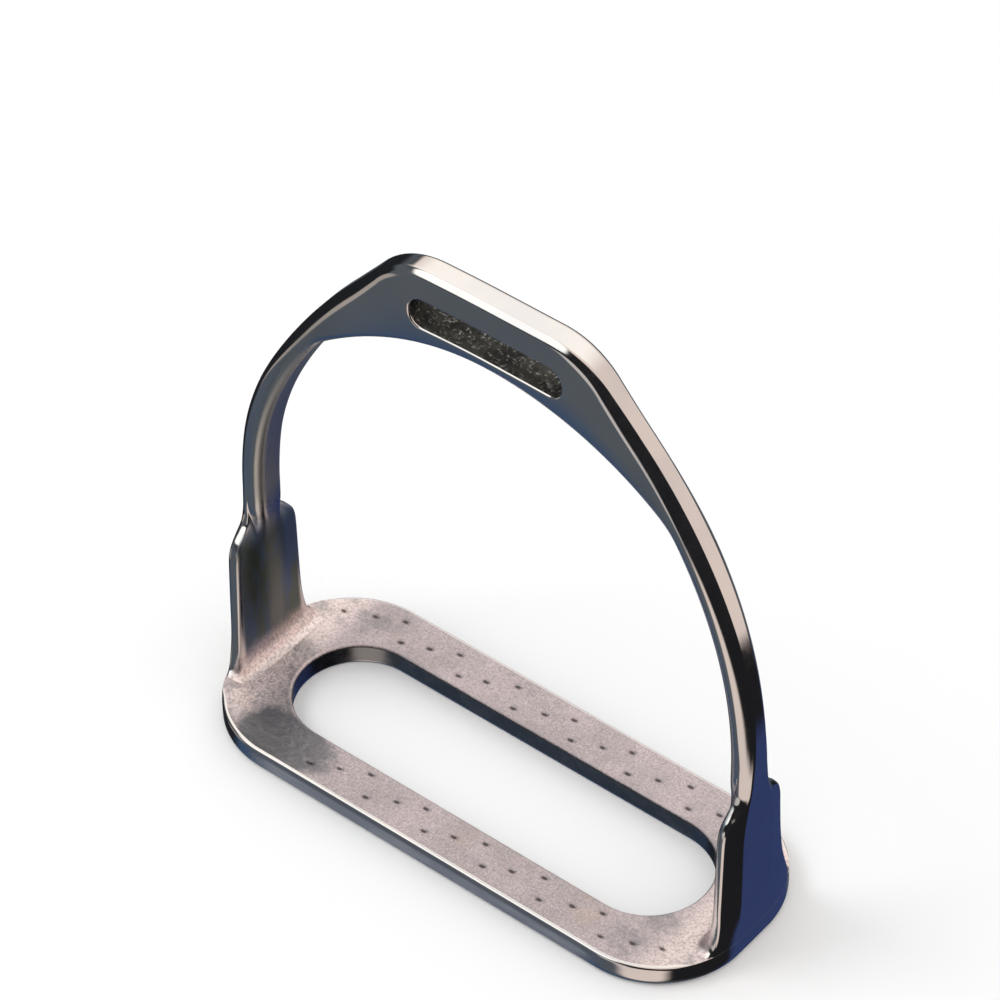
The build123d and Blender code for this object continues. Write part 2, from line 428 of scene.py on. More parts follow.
def crown_underside():
    """(point, outward direction) along the inner arch of the eye block, right to left.  Near
    its ends the direction leans over, until it is that of the branches' last sections."""
    out = towards(LEG_TURN)
    end = LEG_CENTRE + out * ray_to_circle(LEG_CENTRE, out, ARCH_CENTRE, ARCH_RADIUS)
    reach = math.asin(end.x / ARCH_RADIUS)
    extra = math.pi / 2 - LEG_TURN - reach
    rows = []
    for angle in steps(reach, -reach, math.radians(0.6)):
        point = ARCH_CENTRE + Vector((math.sin(angle), math.cos(angle))) * ARCH_RADIUS
        lean = angle + math.copysign(extra * ease((abs(angle) / reach - 0.6) / 0.4), angle)
        rows.append((point, Vector((math.sin(lean), math.cos(lean)))))
    return rows


def eye_outline(grow):
    """Outline of the eye about its own middle, in (x, z), grown outward all round."""
    arcs = []
    for sx, sz, first in ((1, 1, 0), (-1, 1, 90), (-1, -1, 180), (1, -1, 270)):
        centre = Vector((sx * (EYE_LENGTH / 2 - EYE_CORNER), sz * (EYE_HEIGHT / 2 - EYE_CORNER)))
        turns = [math.radians(angle) for angle in range(first, first + 91, 9)]
        arcs.append([centre + towards(turn) * (EYE_CORNER + grow) for turn in turns])
    points = []
    for arc, following, splits in zip(arcs, arcs[1:] + arcs[:1], (EYE_SPLITS, 1, EYE_SPLITS, 1)):
        points += arc + [arc[-1].lerp(following[0], k / splits) for k in range(1, splits)]
    return points


def within(spot, outline):
    """Whether a point is inside a convex outline that runs anticlockwise."""
    for a, b in zip(outline, outline[1:] + outline[:1]):
        if (b.x - a.x) * (spot.y - a.y) - (b.y - a.y) * (spot.x - a.x) <= 0.0:
            return False
    return True


FACE_GRID = 1.3          # spacing of the points inside the front and back faces of the eye block
FACE_GAP = 0.85          # least distance from those points to the faces' outlines
FACE_LOW, FACE_REACH = 100.0, 40.0   # that grid's lowest z and furthest x


class Skin:
    """A mesh in the making, with the section and the material of each face."""

    def __init__(self):
        self.bm = bmesh.new()
        self.section = self.bm.faces.layers.int.new("section")

    def verts(self, rows):
        return [[self.bm.verts.new(p) for p in row] for row in rows]

    def sheet(self, rows, section, material=0, closed=False):
        """Quads between neighbouring rows.  material may be a rule for (row, column)."""
        for i in range(len(rows) - 1):
            width = len(rows[i])
            for j in range(width if closed else width - 1):
                k = (j + 1) % width
                face = self.bm.faces.new((rows[i][j], rows[i][k], rows[i + 1][k], rows[i + 1][j]))
                face[self.section] = section(i) if callable(section) else section
                face.material_index = material(i, j) if callable(material) else material

    def face_with_hole(self, loop, hole, surface, section):
        """A gently curved face between an outline and a hole, as triangles of even size.
        surface gives y for a point (x, z); the outline keeps its own y."""
        flat = [Vector((p.x, p.z)) for p in loop + hole]
        edges = [(i, (i + 1) % len(loop)) for i in range(len(loop))]
        edges += [(len(loop) + i, len(loop) + (i + 1) % len(hole)) for i in range(len(hole))]
        rim = flat[len(loop):]
        inside = []
        for z in steps(FACE_LOW, TOP, FACE_GRID):
            for x in steps(-FACE_REACH, FACE_REACH, FACE_GRID):
                spot = Vector((x, z))
                if min((spot - p).length for p in flat) > FACE_GAP and not within(spot, rim):
                    inside.append(spot)
        made = geometry.delaunay_2d_cdt(flat + inside, edges, [], 1, 1e-5)
        points, _, faces, origin = made[:4]
        corners = []
        for p, sources in zip(points, origin):
            known = [i for i in sources if i < len(loop)]
            corners.append(self.bm.verts.new(loop[known[0]] if known else (p.x, surface(p.x, p.y), p.y)))
        for triangle in faces:
            middle = sum((points[i] for i in triangle), Vector((0.0, 0.0))) / len(triangle)
            if not within(middle, rim):
                face = self.bm.faces.new([corners[i] for i in triangle])
                face[self.section] = section
        loose = [v for v in corners if not v.link_faces]
        bmesh.ops.delete(self.bm, geom=loose, context="VERTS")

    def close(self):
        """Joins the sheets, turns every face outward and works out smooth normals for the
        whole surface, each face counting by its area so that flats stay flat."""
        bmesh.ops.remove_doubles(self.bm, verts=self.bm.verts, dist=1e-4)
        bmesh.ops.recalc_face_normals(self.bm, faces=self.bm.faces)
        if self.bm.calc_volume(signed=True) < 0:
            bmesh.ops.reverse_faces(self.bm, faces=self.bm.faces)
        self.bm.normal_update()
        self.bm.verts.index_update()
        self.normals = []
        for v in self.bm.verts:
            total = Vector()
            for f in v.link_faces:
                total += f.normal * f.calc_area()
            self.normals.append(total.normalized())

    def piece(self, section):
        """Points, faces, materials and corner normals of one section, closed by flat caps."""
        index, points, faces, materials, normals = {}, [], [], [], []
        ahead = set()
        for f in self.bm.faces:
            if f[self.section] != section:
                continue
            face = []
            for v in f.verts:
                if v.index not in index:
                    index[v.index] = len(points)
                    points.append(v.co.copy())
                face.append(index[v.index])
                normals.append(self.normals[v.index])
            faces.append(face)
            materials.append(f.material_index)
            ahead.update(zip(face, face[1:] + face[:1]))
        after = {b: a for a, b in ahead if (b, a) not in ahead}
        while after:
            start, spot = after.popitem()
            cap = [start]
            while spot != start:
                cap.append(spot)
                spot = after.pop(spot)
            normal = Vector()
            for a, b in zip(cap, cap[1:] + cap[:1]):
                normal += points[a].cross(points[b])
            faces.append(cap)
            materials.append(0)
            normals += [normal.normalized()] * len(cap)
        return points, faces, materials, normals


def make_piece(node, data, materials):
    """The Blender object for one section, standing for its CAD node and named after it."""
    points, faces, indices, normals = data
    name = node.capitalize()
    mesh = bpy.data.meshes.new(name)
    mesh.from_pydata([p * MM for p in points], [], faces)
    mesh.polygons.foreach_set("material_index", indices)
    mesh.polygons.foreach_set("use_smooth", [True] * len(faces))
    for material in materials:
        mesh.materials.append(material)
    mesh.normals_split_custom_set(normals)
    obj = bpy.data.objects.new(name, mesh)
    bpy.context.scene.collection.objects.link(obj)
    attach(obj, "root")
    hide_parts(node)


def mirrored(rows):
    """Rows of points on the right, as they are on the left."""
    return [[Vector((-p.x, p.y, p.z)) for p in row] for row in rows]


# ---- materials --------------------------------------------------------------------------
class Nodes:
    """Short calls for building a node tree.  Inputs are named, or i0, i1, ... by number."""

    def __init__(self, tree):
        self.tree = tree
        tree.nodes.clear()

    def add(self, kind, settings=None, **inputs):
        node = self.tree.nodes.new("ShaderNode" + kind)
        for key, value in (settings or {}).items():
            setattr(node, key, value)
        for key, value in inputs.items():
            by_number = key[0] == "i" and key[1:].isdigit()
            socket = node.inputs[int(key[1:]) if by_number else key.replace("_", " ")]
            if isinstance(value, bpy.types.NodeSocket):
                self.tree.links.new(value, socket)
            else:
                socket.default_value = value
        return node

    def noise(self, vector, scale, detail=2.0, rough=0.5):
        return self.add("TexNoise", Vector=vector, Scale=scale, Detail=detail, Roughness=rough).outputs["Fac"]

    def scaled(self, vector, amounts):
        return self.add("Mapping", {"vector_type": "POINT"}, Vector=vector, Scale=amounts).outputs["Vector"]

    def spread(self, value, low, high, to_low=0.0, to_high=1.0):
        return self.add("MapRange", {"interpolation_type": "SMOOTHSTEP"}, Value=value, i1=low, i2=high,
                        i3=to_low, i4=to_high).outputs["Result"]

    def blend(self, factor, a, b):
        """A colour between a and b."""
        return self.add("Mix", {"data_type": "RGBA"}, i0=factor, i6=a, i7=b).outputs[2]

    def mixed(self, factor, a, b):
        """A number between a and b."""
        return self.add("Mix", {"data_type": "FLOAT"}, i0=factor, i2=a, i3=b).outputs[0]

    def maths(self, operation, a, b=0.0):
        return self.add("Math", {"operation": operation}, i0=a, i1=b).outputs[0]

    def times(self, a, b):
        return self.maths("MULTIPLY", a, b)

    def absolute(self, a):
        return self.maths("ABSOLUTE", a)

    def distance(self, a, b):
        return self.add("VectorMath", {"operation": "DISTANCE"}, i0=a, i1=b).outputs["Value"]

    def axes(self, vector):
        return self.add("SeparateXYZ", Vector=vector).outputs[:3]

    def bump(self, height, distance, strength=1.0, normal=None):
        node = self.add("Bump", Height=height, Distance=distance, Strength=strength)
        if normal is not None:
            self.tree.links.new(normal, node.inputs["Normal"])
        return node.outputs["Normal"]

    def metal(self, colour, rough, relief, metallic=1.0):
        return self.add("BsdfPrincipled", Base_Color=colour, Metallic=metallic,
                        Roughness=rough, Normal=relief).outputs[0]

    def finish(self, shader, kind="Material"):
        out = self.tree.nodes.new("ShaderNodeOutput" + kind)
        self.tree.links.new(shader, out.inputs["Surface"])


def material(name):
    made = bpy.data.materials.new(name)
    made.use_nodes = True
    nodes = Nodes(made.node_tree)
    place = nodes.add("TexCoord").outputs["Object"]
    return made, nodes, place


def polish(nodes, place):
    """Colour, roughness and relief of hand-polished cast steel: slow waves, haze, wiping marks,
    and a rougher, darker band along the inside of each branch."""
    cloud = nodes.noise(place, 60.0, 3.0, 0.55)
    tint = nodes.blend(nodes.spread(cloud, 0.35, 0.7), (0.80, 0.785, 0.765, 1), (0.73, 0.73, 0.735, 1))
    haze = nodes.noise(place, 220.0, 4.0, 0.6)
    marks = nodes.noise(nodes.scaled(place, (900.0, 2600.0, 160.0)), 1.0, 3.0, 0.6)
    rough = nodes.maths("ADD", nodes.spread(haze, 0.35, 0.75, 0.07, 0.14),
                        nodes.spread(marks, 0.55, 0.8, 0.0, 0.06))
    x, _, z = nodes.axes(place)
    across = nodes.add("CombineXYZ", X=nodes.absolute(x), Z=z).outputs[0]
    away = nodes.distance(across, (LEG_CENTRE.x * MM, 0.0, LEG_CENTRE.y * MM))
    rubbed = nodes.times(nodes.spread(away, 0.1044, 0.1026), nodes.spread(z, 0.044, 0.056))
    rubbed = nodes.times(rubbed, nodes.spread(nodes.absolute(x), 0.034, 0.058))
    rough = nodes.mixed(rubbed, rough, 0.40)
    tint = nodes.blend(rubbed, tint, (0.54, 0.56, 0.52, 1))
    waves = nodes.bump(nodes.noise(place, 110.0, 1.0, 0.4), 0.00012, 0.3)
    return tint, rough, nodes.bump(marks, 0.000004, 0.5, waves)


def polished_steel():
    made, nodes, place = material("Polished_steel")
    tint, rough, relief = polish(nodes, place)
    nodes.finish(nodes.metal(tint, rough, relief))
    return made


def cheek_steel():
    """Polished outside and on the edges; the inner face is only buffed and streaked, painted darker as a
    blue-green reflection with a painted highlight along its ridge, and turns into the blasted surface of the
    tread at its foot."""
    made, nodes, place = material("Cheek_steel")
    tint, rough, relief = polish(nodes, place)
    x, y, z = nodes.axes(place)
    ragged = nodes.times(nodes.maths("SUBTRACT", nodes.noise(place, 260.0, 3.0, 0.6), 0.5), 0.004)
    inward = nodes.spread(nodes.absolute(x), 0.0653, 0.0643)
    middle = nodes.spread(nodes.absolute(y), 0.0102, 0.0086)
    low = nodes.spread(nodes.maths("ADD", z, ragged), 0.0520, 0.0400)
    # the inner face: a buffed, rougher finish, and the area that takes the painted reflection colour
    buffed = nodes.times(nodes.times(inward, middle), low)
    streak = nodes.noise(nodes.scaled(place, (150.0, 190.0, 60.0)), 1.0, 4.0, 0.6)
    # painted reflection: the dark blue-green of the inner face stands in for the blue backdrop mirrored
    # there; its streaks follow the buffing
    dull_with_painted_reflection = nodes.blend(nodes.spread(streak, 0.40, 0.60), (0.125, 0.155, 0.135, 1), (0.115, 0.165, 0.26, 1))
    # painted highlight: a lighter stripe along the ridge of the inner face, stronger low down
    painted_ridge_highlight = nodes.spread(nodes.absolute(nodes.maths("SUBTRACT", y, 0.001)), 0.0034, 0.0012)
    painted_ridge_highlight = nodes.times(painted_ridge_highlight, nodes.spread(z, 0.046, 0.014, 0.0, 0.8))
    dull_with_painted_reflection = nodes.blend(painted_ridge_highlight, dull_with_painted_reflection, (0.23, 0.245, 0.22, 1))
    foot = nodes.times(nodes.spread(nodes.maths("ADD", z, ragged), 0.0125, 0.0062), inward)
    tint = nodes.blend(buffed, tint, dull_with_painted_reflection)
    tint = nodes.blend(foot, tint, blasted_tint(nodes, place)[0])
    rough = nodes.mixed(buffed, rough, nodes.spread(streak, 0.3, 0.7, 0.42, 0.52))
    rough = nodes.mixed(foot, rough, 0.42)
    coarseness = nodes.maths("MAXIMUM", foot, nodes.times(buffed, 0.25))
    grain = nodes.times(nodes.noise(place, 900.0, 3.0, 0.6), coarseness)
    relief = nodes.bump(grain, 0.00005, 0.5, relief)
    nodes.finish(nodes.metal(tint, rough, relief))
    return made


def blasted_tint(nodes, place):
    """Colour of the blasted surface before wear, with the noises that its relief uses."""
    x = nodes.axes(place)[0]
    grain = nodes.noise(place, 3800.0, 2.0, 0.6)
    coarse = nodes.noise(place, 1500.0, 3.0, 0.65)
    cloud = nodes.noise(place, 85.0, 4.0, 0.6)
    tint = nodes.blend(nodes.spread(cloud, 0.35, 0.68), (0.60, 0.53, 0.55, 1), (0.46, 0.415, 0.43, 1))
    ends = nodes.spread(nodes.absolute(x), 0.0515, 0.0585)
    tint = nodes.blend(nodes.times(ends, 0.95), tint, (0.92, 0.80, 0.785, 1))
    tint = nodes.blend(nodes.spread(coarse, 0.36, 0.60, 0.55, 0.0), tint, (0.25, 0.225, 0.24, 1))
    tint = nodes.blend(nodes.spread(grain, 0.50, 0.68, 0.0, 0.40), tint, (0.98, 0.91, 0.91, 1))
    stain = nodes.noise(place, 36.0, 4.0, 0.65)
    return nodes.blend(nodes.spread(stain, 0.60, 0.76, 0.0, 0.35), tint, (0.60, 0.44, 0.32, 1)), coarse, grain


def blasted_steel():
    """Matt top of the tread: pinkish grain, patches worn dark and smooth, faint warm stains,
    and darker colour in the dimples."""
    made, nodes, place = material("Blasted_steel")
    x, _, z = nodes.axes(place)
    tint, coarse, grain = blasted_tint(nodes, place)
    ends = nodes.spread(nodes.absolute(x), 0.041, 0.050)
    worn = nodes.times(ends, nodes.spread(nodes.noise(place, 130.0, 4.0, 0.6), 0.48, 0.62))
    spot = nodes.add("VectorMath", {"operation": "MULTIPLY"}, i0=place, i1=(0.8, 1.35, 0.0)).outputs[0]
    away = nodes.distance(spot, (-0.0345, -0.0273, 0.0))
    away = nodes.maths("ADD", away, nodes.times(nodes.noise(place, 260.0, 4.0, 0.65), 0.007))
    scuffed = nodes.maths("MAXIMUM", nodes.times(worn, 0.55), nodes.spread(away, 0.0150, 0.0115))
    tint = nodes.blend(nodes.times(scuffed, 0.80), tint, (0.135, 0.145, 0.16, 1))
    # the colour is darker where the top lies below 5.24 mm, that is in the dimples
    sunk_darkening = nodes.spread(z, 0.00524, 0.00500)
    tint = nodes.blend(nodes.times(sunk_darkening, 0.85), tint, (0.055, 0.05, 0.055, 1))
    rough = nodes.mixed(scuffed, nodes.spread(coarse, 0.3, 0.7, 0.40, 0.58), 0.34)
    pits = nodes.bump(coarse, 0.00010, 0.65)
    fine = nodes.bump(grain, 0.00004, 0.7, pits)
    nodes.finish(nodes.metal(tint, rough, fine, 0.9))
    return made


def cast_steel():
    """As-cast skin inside the eye, dark with brighter worn specks."""
    made, nodes, place = material("Cast_steel")
    lumps = nodes.noise(place, 1150.0, 5.0, 0.72)
    cloud = nodes.noise(place, 120.0, 3.0, 0.6)
    tint = nodes.blend(nodes.spread(cloud, 0.4, 0.65), (0.030, 0.031, 0.030, 1), (0.085, 0.088, 0.078, 1))
    tint = nodes.blend(nodes.spread(lumps, 0.54, 0.70, 0.0, 0.85), tint, (0.56, 0.57, 0.54, 1))
    rough = nodes.spread(lumps, 0.35, 0.7, 0.62, 0.38)
    relief = nodes.bump(lumps, 0.00022, 0.9)
    nodes.finish(nodes.metal(tint, rough, relief, 0.85))
    return made


def ground_steel():
    """Edge of the open middle of the tread: ground, not polished, and darkened."""
    made, nodes, place = material("Ground_steel")
    haze = nodes.noise(place, 240.0, 4.0, 0.6)
    lines = nodes.noise(nodes.scaled(place, (260.0, 260.0, 1500.0)), 1.0, 3.0, 0.6)
    tint = nodes.blend(haze, (0.20, 0.21, 0.22, 1), (0.34, 0.35, 0.36, 1))
    rough = nodes.spread(haze, 0.35, 0.75, 0.20, 0.34)
    relief = nodes.bump(lines, 0.00002, 0.6)
    nodes.finish(nodes.metal(tint, rough, relief))
    return made


def wall_steel():
    """Outer wall of the tread: polished round the ends, left satin and greyer along the bars; its satin
    colour carries a slight painted blue reflection and a painted dark reflection band high up.
    """
    made, nodes, place = material("Wall_steel")
    tint, rough, relief = polish(nodes, place)
    x, _, z = nodes.axes(place)
    cloud = nodes.noise(nodes.scaled(place, (60.0, 60.0, 300.0)), 1.0, 3.0, 0.6)
    along = nodes.maths("ADD", nodes.absolute(x), nodes.times(cloud, 0.008))
    satin = nodes.spread(along, 0.053, 0.043)
    # satin finish; its colour holds a slight painted blue reflection
    satin_grey_and_reflection = nodes.blend(nodes.spread(cloud, 0.4, 0.6), (0.41, 0.43, 0.47, 1), (0.32, 0.34, 0.39, 1))
    # painted reflection: the upper part of the wall is painted darker, for a dark band mirrored there
    satin_grey_and_reflection = nodes.blend(nodes.spread(z, 0.0034, 0.0046, 0.0, 0.75), satin_grey_and_reflection, (0.08, 0.09, 0.11, 1))
    bright = nodes.metal(tint, rough, relief)
    dull_with_painted_reflection = nodes.metal(satin_grey_and_reflection, 0.33, relief, 0.6)
    nodes.finish(nodes.add("MixShader", Fac=satin, i1=bright, i2=dull_with_painted_reflection).outputs[0])
    return made


POLISHED = polished_steel()
CHEEK = cheek_steel()
BLASTED = blasted_steel()
CAST = cast_steel()
GROUND = ground_steel()
WALL = wall_steel()
# places in the list of materials of a piece of the bow, and of a piece of the tread
OUTSIDE_FINISH, CAST_FINISH = range(2)
POLISHED_FINISH, BLASTED_FINISH, GROUND_FINISH, WALL_FINISH = range(4)

# ---- the bow, cheeks and eye block as one skin ------------------------------------------
EYE_BLOCK, RIGHT_BRANCH, LEFT_BRANCH, RIGHT_CHEEK, LEFT_CHEEK = range(5)
LIP_ROUND = 0.55         # rounding of the eye's edges
LIP_STEPS = 6
LINING_STEPS = 14        # rows over the eye's whole depth
LINING_ROUGH = 0.22      # how far the cast lining of the eye strays from an even surface
EYE_MIDLINE = 15.0       # half length of the line that the roughness pushes towards
PAST_CROWN = 38.0        # a distance from the middle where the crown's section no longer changes


def bow_skin():
    """Both cheeks and branches, the crown's outside, arch and faces, and the wall of the eye."""
    skin = Skin()
    levels = limb_rings(RIGHT)
    rings = [points for _, points in levels]
    left_rings = mirrored([points for _, points in limb_rings(LEFT)])

    def limb(branch, cheek):
        return lambda i: cheek if levels[i][0] < CHEEK_CUT - TINY else branch

    skin.sheet(skin.verts(rings), limb(RIGHT_BRANCH, RIGHT_CHEEK), closed=True)
    skin.sheet(skin.verts(left_rings), limb(LEFT_BRANCH, LEFT_CHEEK), closed=True)

    bevel_end = arc_start(SPLITS, BEVEL_CORNER) + ARC_STEPS
    inner_start = arc_start(SPLITS, INNER_CORNER)
    inner_end = arc_start(SPLITS, BACK_INNER_CORNER) + ARC_STEPS
    back_bevel = arc_start(SPLITS, BACK_BEVEL_CORNER)

    thick = branch_thickness(LEG_TURN)
    outer = []
    for point, out in crown_outline():
        points = placed(ring(crown_section(thick, point.x), SPLITS), point, -out)
        points = [swollen(p, CROWN_DEPTH) for p in points]
        outer.append(points[back_bevel:] + points[:bevel_end + 1])
    inner = []
    for point, out in crown_underside():
        points = ring(crown_section(thick, PAST_CROWN), SPLITS)[inner_start:inner_end + 1]
        points = placed([(u - thick, y) for u, y in points], point, -out)
        inner.append([swollen(p, CROWN_DEPTH) for p in points])
    skin.sheet(skin.verts(outer), EYE_BLOCK)
    skin.sheet(skin.verts(inner), EYE_BLOCK)

    last = rings[-1]
    front_edge = last[bevel_end:inner_start + 1]
    back_edge = last[inner_end:back_bevel + 1]
    hole = [Vector((p.x, 0.0, EYE_CENTRE + p.y)) for p in eye_outline(LIP_ROUND)]
    for side, outside, underside, edge in ((-1, -1, 0, front_edge), (1, 0, -1, back_edge[::-1])):
        loop = [row[outside] for row in reversed(outer)]
        loop += edge[1:-1]
        loop += [row[underside] for row in inner]
        loop += [Vector((-p.x, p.y, p.z)) for p in edge[1:-1][::-1]]
        skin.face_with_hole(loop, hole, lambda x, z: side * (CROWN_DEPTH + swell(x, z)), EYE_BLOCK)

    sections = []
    for k in range(LIP_STEPS + 1):
        angle = math.pi / 2 * k / LIP_STEPS
        sections.append((LIP_ROUND * (1 - math.sin(angle)), CROWN_DEPTH - LIP_ROUND * (1 - math.cos(angle))))
    wall = steps(CROWN_DEPTH - LIP_ROUND, LIP_ROUND - CROWN_DEPTH, 2 * CROWN_DEPTH / LINING_STEPS)[1:-1]
    sections += [(0.0, y) for y in wall] + [(grow, -y) for grow, y in reversed(sections)]
    tube = []
    for grow, y in sections:
        rough = LINING_ROUGH * ease((CROWN_DEPTH - abs(y) - LIP_ROUND * 0.6) / 0.9)
        row = []
        for p in eye_outline(grow):
            spot = Vector((p.x, y, EYE_CENTRE + p.y))
            middle = Vector((max(-EYE_MIDLINE, min(EYE_MIDLINE, p.x)), y, EYE_CENTRE))
            push = rough * (noise.noise(spot * 0.9) + 0.5 * noise.noise(spot * 2.1))
            row.append(swollen(spot + (middle - spot).normalized() * push, CROWN_DEPTH))
        tube.append(row)

    def lining(i, _):
        return CAST_FINISH if LIP_STEPS - 1 <= i < len(tube) - LIP_STEPS else OUTSIDE_FINISH

    skin.sheet(skin.verts(tube), EYE_BLOCK, lining, closed=True)
    for v in skin.bm.verts:
        v.co = hand_bent(v.co)
    skin.close()
    return skin


# ---- the tread as one skin --------------------------------------------------------------
RIGHT_END, LEFT_END, FRONT_BAR, BACK_BAR = range(4)
TREAD_SPLITS = [4, 34, 4, 8]   # corners go outer lower, outer upper, inner upper, inner lower
STATION_GAP, STATION_TURN = 0.42, 1.0   # between sections: mm along the bars, degrees round the ends
DIMPLE_PITCH = 15.8
DIMPLE_STAGGER = 6.3
DIMPLE_ROW_GAP = 2.7
FRONT, BACK = -1, 1
DIMPLE_COUNT = {FRONT: 6, BACK: 7}          # in a row
DIMPLE_SHIFT = {FRONT: 10.6, BACK: -4.5}    # along the tread
DIMPLE_MIDDLE = {FRONT: -19.4, BACK: 20.3}  # y of the middle row
DIMPLE_LENGTH, DIMPLE_WIDTH = 1.15, 0.62
DIMPLE_DEPTH = 0.55
DIMPLE_RIM = 0.05        # height of the metal raised round a dimple
DIMPLE_REACH = (2.2, 1.6)   # no point further than this in x and y feels a dimple
DIMPLE_STRAY = (0.8, 0.5)   # how far a dimple strays in x and y, where the noise is 1
TOP_SINK = 0.10          # how far the blasted top lies below the tread's full height
EDGE_TRIM = {FRONT: 0.9, BACK: 0.6}         # rounding of the tread's outer upper edge
SLOT_TRIM = 0.7          # rounding of its inner upper edge
UNDER_TRIM, UNDER_SLOT_TRIM = 1.7, 0.8      # rounding of its outer and inner lower edges
BURIED_TRIM = 0.02       # rounding of the outer upper edge where a cheek stands on it
CHEEK_INNER = 60.5       # the blasted top rises to full height under the cheeks: beyond this in x
CHEEK_COVER = 15.5       # and within this in y
COVER_FROM = 50.0        # a cheek's foot covers the edge only beyond this distance in x,
COVER_HALF = 19.5        # and within this distance in y,
COVER_RIGHT_BACK = 2.0   # or this much more at the back of the right cheek


def outer_outline(direction):
    """Where a ray from the slot's end centre meets the tread's outline, as a distance."""
    x, y = direction
    if x > 0:
        reach = (CHEEK_OUT - BAR_CUT) / x
        if abs(y * reach) <= TREAD_FLAT_END:
            return reach
    if abs(y) > 0:
        reach = TREAD_HALF / abs(y)
        if x * reach <= CHEEK_OUT - TREAD_CORNER - BAR_CUT:
            return reach
    centre = Vector((CHEEK_OUT - TREAD_CORNER - BAR_CUT, math.copysign(TREAD_FLAT_END, y)))
    return ray_to_circle(Vector((0.0, 0.0)), Vector(direction), centre, TREAD_CORNER)


def dimples():
    """Middle of every grip dimple, each a little off its even place, as punched by hand."""
    spots = []
    for bar in (FRONT, BACK):
        for row in (-1, 0, 1):
            for k in range(DIMPLE_COUNT[bar]):
                along = (k - (DIMPLE_COUNT[bar] - 1) / 2) * DIMPLE_PITCH
                x = along + row * DIMPLE_STAGGER + DIMPLE_SHIFT[bar]
                y = DIMPLE_MIDDLE[bar] + row * DIMPLE_ROW_GAP
                stray_x = noise.noise(Vector((x * 0.37, y * 0.61, 4.0)))
                stray_y = noise.noise(Vector((x * 0.37, y * 0.61, 9.5)))
                spots.append((x + DIMPLE_STRAY[0] * stray_x, y + DIMPLE_STRAY[1] * stray_y))
    return spots


DIMPLES = dimples()


def top_sink(x, y, from_edge):
    """How far the blasted top lies below the tread's full height at a point, uneven and dimpled."""
    spot = Vector((x, y, 0.0))
    clear_of_cheek = max((CHEEK_INNER - abs(x)) / 1.6, (abs(y) - CHEEK_COVER) / 1.5)
    share = ease(from_edge / 0.9) * ease(clear_of_cheek)
    sink = TOP_SINK + 0.06 * noise.noise(spot * 0.16) + 0.05 * noise.noise(spot * 0.75)
    sink += 0.035 * noise.noise(spot * 1.9)
    for dx, dy in DIMPLES:
        if abs(x - dx) < DIMPLE_REACH[0] and abs(y - dy) < DIMPLE_REACH[1]:
            away = math.hypot((x - dx) / DIMPLE_LENGTH, (y - dy) / DIMPLE_WIDTH)
            rim = math.exp(-((away - 1.55) / 0.35) ** 2)
            sink += DIMPLE_DEPTH * (1 - ease(away / 1.3)) - DIMPLE_RIM * rim
    return max(0.0, sink) * share


def tread_stations():
    """(outer point, inner point, section) right round the tread, starting along the front bar."""
    bar = steps(-BAR_CUT, BAR_CUT, STATION_GAP)
    stations = [(Vector((x, -TREAD_HALF)), Vector((x, -SLOT_RADIUS)), FRONT_BAR) for x in bar[:-1]]
    for sign, section, next_bar in ((1, RIGHT_END, BACK_BAR), (-1, LEFT_END, None)):
        for degrees in steps(-90.0, 90.0, STATION_TURN)[:-1]:
            way = towards(math.radians(degrees))
            centre = Vector((sign * BAR_CUT, 0.0))
            outer = centre + way * sign * outer_outline(way)
            stations.append((outer, centre + way * sign * SLOT_RADIUS, section))
        if next_bar is not None:
            for x in reversed(bar[1:]):
                stations.append((Vector((x, TREAD_HALF)), Vector((x, SLOT_RADIUS)), next_bar))
    return stations


def edge_trim(outer):
    """Rounding of the tread's outer upper edge at an outer point: almost none under a cheek."""
    under = 0.0
    if abs(outer.x) > COVER_FROM:
        half = COVER_HALF + (COVER_RIGHT_BACK if outer.y > 0 and outer.x > 0 else 0.0)
        under = ease((half - abs(outer.y)) / 3.0)
    return mix(EDGE_TRIM[FRONT if outer.y < 0.0 else BACK], BURIED_TRIM, under)


def tread_skin():
    """The tread's section, swept round its open middle."""
    skin = Skin()
    stations = tread_stations()
    rows = []
    for outer, inner, _ in stations:
        width = (inner - outer).length
        inward = (inner - outer).normalized()
        top_trim = edge_trim(outer)
        corners = [(0, 0, UNDER_TRIM), (0, TREAD_THICK, top_trim),
                   (width, TREAD_THICK, SLOT_TRIM), (width, 0, UNDER_SLOT_TRIM)]
        row = []
        for u, z in ring(corners, TREAD_SPLITS):
            spot = outer + inward * u
            if z > TREAD_THICK - TINY:
                z -= top_sink(spot.x, spot.y, min(u - top_trim, width - SLOT_TRIM - u))
            row.append(Vector((spot.x, spot.y, z)))
        rows.append(row)
    first_top = arc_start(TREAD_SPLITS, 1) + ARC_STEPS
    last_top = arc_start(TREAD_SPLITS, 2) + ARC_STEPS
    last_wall = arc_start(TREAD_SPLITS, 3)
    made = skin.verts(rows)
    made.append(made[0])
    sections = [section for _, _, section in stations]

    def finish_of(_, j):
        if first_top <= j < last_top:
            return BLASTED_FINISH
        if last_top <= j < last_wall:
            return GROUND_FINISH
        if ARC_STEPS // 2 <= j < first_top - ARC_STEPS // 2:
            return WALL_FINISH
        return POLISHED_FINISH

    skin.sheet(made, lambda i: sections[i], finish_of, closed=True)
    skin.close()
    return skin


bow = bow_skin()
for node, section, outside in (("eye_block", EYE_BLOCK, POLISHED),
                               ("right_branch", RIGHT_BRANCH, POLISHED),
                               ("left_branch", LEFT_BRANCH, POLISHED),
                               ("right_cheek", RIGHT_CHEEK, CHEEK),
                               ("left_cheek", LEFT_CHEEK, CHEEK)):
    make_piece(node, bow.piece(section), [outside, CAST])
tread = tread_skin()
for node, section in (("right_tread_end", RIGHT_END), ("left_tread_end", LEFT_END),
                      ("front_tread_bar", FRONT_BAR), ("back_tread_bar", BACK_BAR)):
    make_piece(node, tread.piece(section), [POLISHED, BLASTED, GROUND, WALL])

